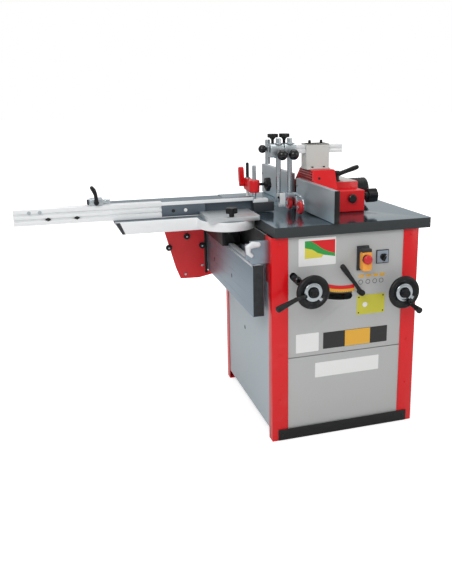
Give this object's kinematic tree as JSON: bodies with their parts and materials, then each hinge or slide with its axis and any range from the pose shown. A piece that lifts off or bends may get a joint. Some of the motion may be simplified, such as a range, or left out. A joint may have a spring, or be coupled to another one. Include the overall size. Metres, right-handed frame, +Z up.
{
  "type": "spindle moulder",
  "caption": "Floor-standing spindle moulder: sheet-metal cabinet, cast table with tilting and rising spindle, hooded fence with pressure device and sliding crosscut table with mitre fence.",
  "frame": {"origin": "on the floor at the middle of the four foot bolt holes", "axes": "+Z up, +Y along the feed from the operator's front to the rear, +X to the operator's right"},
  "size_m": [1.564, 1.3665, 1.188],
  "materials": {
    "red_paint": "semi-gloss powder coat",
    "grey_paint": "satin powder coat",
    "black_paint": "satin paint",
    "ground_iron": "finely ground top, dark sides",
    "raw_iron": "as cast with machined faces",
    "machined_steel": "turned",
    "motor_paint": "gloss paint",
    "belt_rubber": "moulded",
    "black_plastic": "moulded, slightly glossy",
    "switch_grey": "moulded",
    "orange_plastic": "moulded",
    "red_plastic": "moulded",
    "silver_alloy": "fine anodised",
    "beam_alloy": "drawn, bluish",
    "mast_paint": "light grey paint"
  },
  "bodies": {
    "root": {"corner_posts": "red_paint", "outer_panels": "grey_paint", "lower_front_panel": "grey_paint", "control_panel": "grey_paint", "front_plinth": "black_paint", "table_top": "ground_iron", "table_ring": "ground_iron", "trunnion_brackets": "raw_iron", "switch_bases": "switch_grey", "fence_hood": "red_paint", "dust_port": "black_plastic", "pressure_mast": "mast_paint", "slide_beam": "beam_alloy", "beam_braces": "beam_alloy", "machine_screws": "machined_steel"},
    "tilting_cradle": {"tilt_cradle": "raw_iron"},
    "rising_unit": {"spindle_housing": "raw_iron", "drive_motor": "motor_paint", "drive_belt": "belt_rubber"},
    "spindle": {"spindle_shaft": "machined_steel", "spindle_spacers": "machined_steel", "spindle_pulley": "machined_steel"},
    "pressure_arm": {"pressure_bar": "mast_paint", "clamp_head": "mast_paint", "head_knobs": "black_plastic"},
    "carriage": {"crosscut_table": "silver_alloy", "carriage_saddle": "raw_iron", "outrigger_wing": "red_paint", "rubber_buffers": "belt_rubber"},
    "mitre_guide": {"mitre_head": "silver_alloy", "mitre_fence": "silver_alloy", "fence_tip": "black_plastic", "clamp_column": "machined_steel"},
    "motor_pulley": {"motor_pulley": "machined_steel"},
    "height_wheel": {"height_wheel": "black_plastic"},
    "height_grip": {"height_grip": "black_plastic"},
    "height_lock_knob": {"height_lock_knob": "black_plastic"},
    "tilt_wheel": {"tilt_wheel": "black_plastic"},
    "tilt_grip": {"tilt_grip": "black_plastic"},
    "tilt_lock_lever": {"tilt_lock_lever": "black_plastic"},
    "switch_flap": {"switch_flap": "orange_plastic"},
    "stop_button": {"stop_button": "red_plastic"},
    "cam_switch_knob": {"cam_switch_knob": "black_plastic"},
    "fence_plate_front": {"fence_plate_front": "silver_alloy"},
    "fence_plate_rear": {"fence_plate_rear": "silver_alloy"},
    "fence_lock_lever": {"fence_lock_lever": "black_plastic"},
    "fence_adjust_knob": {"fence_adjust_knob": "black_plastic"},
    "fence_lock_knob": {"fence_lock_knob": "black_plastic"},
    "shoe_rod": {"shoe_rod": "machined_steel"},
    "roller_rod": {"roller_rod": "machined_steel"},
    "roller_front": {"roller_front": "red_plastic"},
    "roller_rear": {"roller_rear": "red_plastic"},
    "mitre_knob": {"mitre_knob": "black_plastic"},
    "fence_extension": {"fence_extension": "silver_alloy"},
    "stop_block": {"stop_block": "silver_alloy"},
    "stop_lever": {"stop_lever": "black_plastic"},
    "clamp_arm": {"clamp_arm": "red_paint"},
    "clamp_knob": {"clamp_knob": "black_plastic"},
    "clamp_lever": {"clamp_lever": "red_paint"},
    "clamp_pad": {"clamp_pad": "machined_steel"}
  },
  "joints": [
    {"name": "tilt", "type": "hinge", "parent": "root", "child": "tilting_cradle", "pos_m": [0, 0.075, 0.87], "axis": [0, -1, 0], "range_deg": [0, 35]},
    {"name": "height", "type": "slide", "parent": "tilting_cradle", "child": "rising_unit", "axis": [0, 0, 1], "range_m": [-0.04, 0.04]},
    {"name": "spindle_spin", "type": "hinge", "parent": "rising_unit", "child": "spindle", "pos_m": [0, 0.075, 0.87], "axis": [0, 0, 1], "continuous": true},
    {"name": "motor_spin", "type": "hinge", "parent": "rising_unit", "child": "motor_pulley", "pos_m": [-0.165, 0.075, 0.53], "axis": [0, 0, 1], "continuous": true},
    {"name": "height_wheel_turn", "type": "hinge", "parent": "tilting_cradle", "child": "height_wheel", "pos_m": [-0.16863, -0.402, 0.62917], "axis": [0, 1, 0], "range_deg": [-128, 128]},
    {"name": "height_grip_spin", "type": "hinge", "parent": "height_wheel", "child": "height_grip", "pos_m": [-0.22079, -0.424, 0.61519], "axis": [-0.9186, -0.309, -0.2462], "continuous": true},
    {"name": "height_lock", "type": "hinge", "parent": "tilting_cradle", "child": "height_lock_knob", "pos_m": [-0.21326, -0.361, 0.66762], "axis": [0, 1, 0], "range_deg": [-90, 90]},
    {"name": "tilt_wheel_turn", "type": "hinge", "parent": "root", "child": "tilt_wheel", "pos_m": [0.214, -0.402, 0.591], "axis": [0, 1, 0], "range_deg": [-1, 120]},
    {"name": "tilt_grip_spin", "type": "hinge", "parent": "tilt_wheel", "child": "tilt_grip", "pos_m": [0.241, -0.424, 0.54424], "axis": [0.104, -0.9781, -0.1801], "continuous": true},
    {"name": "tilt_lock", "type": "hinge", "parent": "root", "child": "tilt_lock_lever", "pos_m": [0.055, -0.347, 0.591], "axis": [0, 1, 0], "range_deg": [-20, 12]},
    {"name": "flap_swing", "type": "hinge", "parent": "root", "child": "switch_flap", "pos_m": [0.0655, -0.3653, 0.769], "axis": [-1, 0, 0], "range_deg": [0, 90]},
    {"name": "stop_press", "type": "slide", "parent": "switch_flap", "child": "stop_button", "axis": [0, 1, 0], "range_m": [0, 0.005], "stiffness_N_per_m": 800},
    {"name": "cam_turn", "type": "hinge", "parent": "root", "child": "cam_switch_knob", "pos_m": [0.1515, -0.353, 0.7245], "axis": [0, 1, 0], "range_deg": [-45, 45]},
    {"name": "front_plate_slide", "type": "slide", "parent": "root", "child": "fence_plate_front", "axis": [0, -1, 0], "range_m": [0, 0.06]},
    {"name": "rear_plate_slide", "type": "slide", "parent": "root", "child": "fence_plate_rear", "axis": [0, 1, 0], "range_m": [0, 0.06]},
    {"name": "hood_lever", "type": "hinge", "parent": "root", "child": "fence_lock_lever", "pos_m": [0.086, -0.04, 0.985], "axis": [0, 0, 1], "range_deg": [-45, 20]},
    {"name": "adjust_turn", "type": "hinge", "parent": "root", "child": "fence_adjust_knob", "pos_m": [0.17, -0.118, 0.93], "axis": [1, 0, 0], "continuous": true},
    {"name": "front_lock", "type": "hinge", "parent": "root", "child": "fence_lock_knob", "pos_m": [0.112, -0.138, 0.925], "axis": [0, 1, 0], "range_deg": [-90, 90]},
    {"name": "pressure_reach", "type": "slide", "parent": "root", "child": "pressure_arm", "axis": [1, 0, 0], "range_m": [-0.014, 0.02]},
    {"name": "shoe_height", "type": "slide", "parent": "pressure_arm", "child": "shoe_rod", "axis": [0, 0, 1], "range_m": [-0.015, 0.08]},
    {"name": "roller_height", "type": "slide", "parent": "pressure_arm", "child": "roller_rod", "axis": [0, 0, 1], "range_m": [0, 0.08]},
    {"name": "roller_front_spin", "type": "hinge", "parent": "roller_rod", "child": "roller_front", "pos_m": [-0.11, -0.122, 0.898], "axis": [1, 0, 0], "continuous": true},
    {"name": "roller_rear_spin", "type": "hinge", "parent": "roller_rod", "child": "roller_rear", "pos_m": [-0.11, 0.006, 0.898], "axis": [1, 0, 0], "continuous": true},
    {"name": "table_slide", "type": "slide", "parent": "root", "child": "carriage", "axis": [0, 1, 0], "range_m": [-0.35, 0.4]},
    {"name": "mitre_swivel", "type": "hinge", "parent": "carriage", "child": "mitre_guide", "pos_m": [-0.411, -0.095, 0.87], "axis": [0, 0, 1], "range_deg": [0, 45]},
    {"name": "mitre_lock", "type": "hinge", "parent": "mitre_guide", "child": "mitre_knob", "pos_m": [-0.411, -0.172, 0.888], "axis": [0, 0, 1], "range_deg": [-90, 90]},
    {"name": "extension_slide", "type": "slide", "parent": "mitre_guide", "child": "fence_extension", "axis": [-1, 0, 0], "range_m": [0, 0.13]},
    {"name": "stop_slide", "type": "slide", "parent": "fence_extension", "child": "stop_block", "axis": [1, 0, 0], "range_m": [-0.15, 0.15]},
    {"name": "stop_lock", "type": "hinge", "parent": "stop_block", "child": "stop_lever", "pos_m": [-0.905, -0.018, 0.9473], "axis": [0, 1, 0], "range_deg": [-25, 25]},
    {"name": "clamp_height", "type": "slide", "parent": "mitre_guide", "child": "clamp_arm", "axis": [0, 0, 1], "range_m": [-0.015, 0.04]},
    {"name": "clamp_lock", "type": "hinge", "parent": "clamp_arm", "child": "clamp_knob", "pos_m": [-0.24, 0.002, 0.983], "axis": [1, 0, 0], "range_deg": [-90, 90]},
    {"name": "clamp_press", "type": "hinge", "parent": "clamp_arm", "child": "clamp_lever", "pos_m": [-0.279, 0.113, 0.974], "axis": [1, 0, 0], "range_deg": [0, 60]},
    {"name": "pad_press", "type": "slide", "parent": "clamp_arm", "child": "clamp_pad", "axis": [0, 0, -1], "range_m": [0, 0.0301]}
  ],
  "couplings": [
    {"joint": "motor_spin", "follows": "spindle_spin", "ratio": 0.66667},
    {"joint": "height_wheel_turn", "follows": "height", "rad_per_m": 55.556},
    {"joint": "tilt_wheel_turn", "follows": "tilt", "ratio": 3.3953},
    {"joint": "pad_press", "follows": "clamp_press", "m_per_rad": 0.028648}
  ]
}
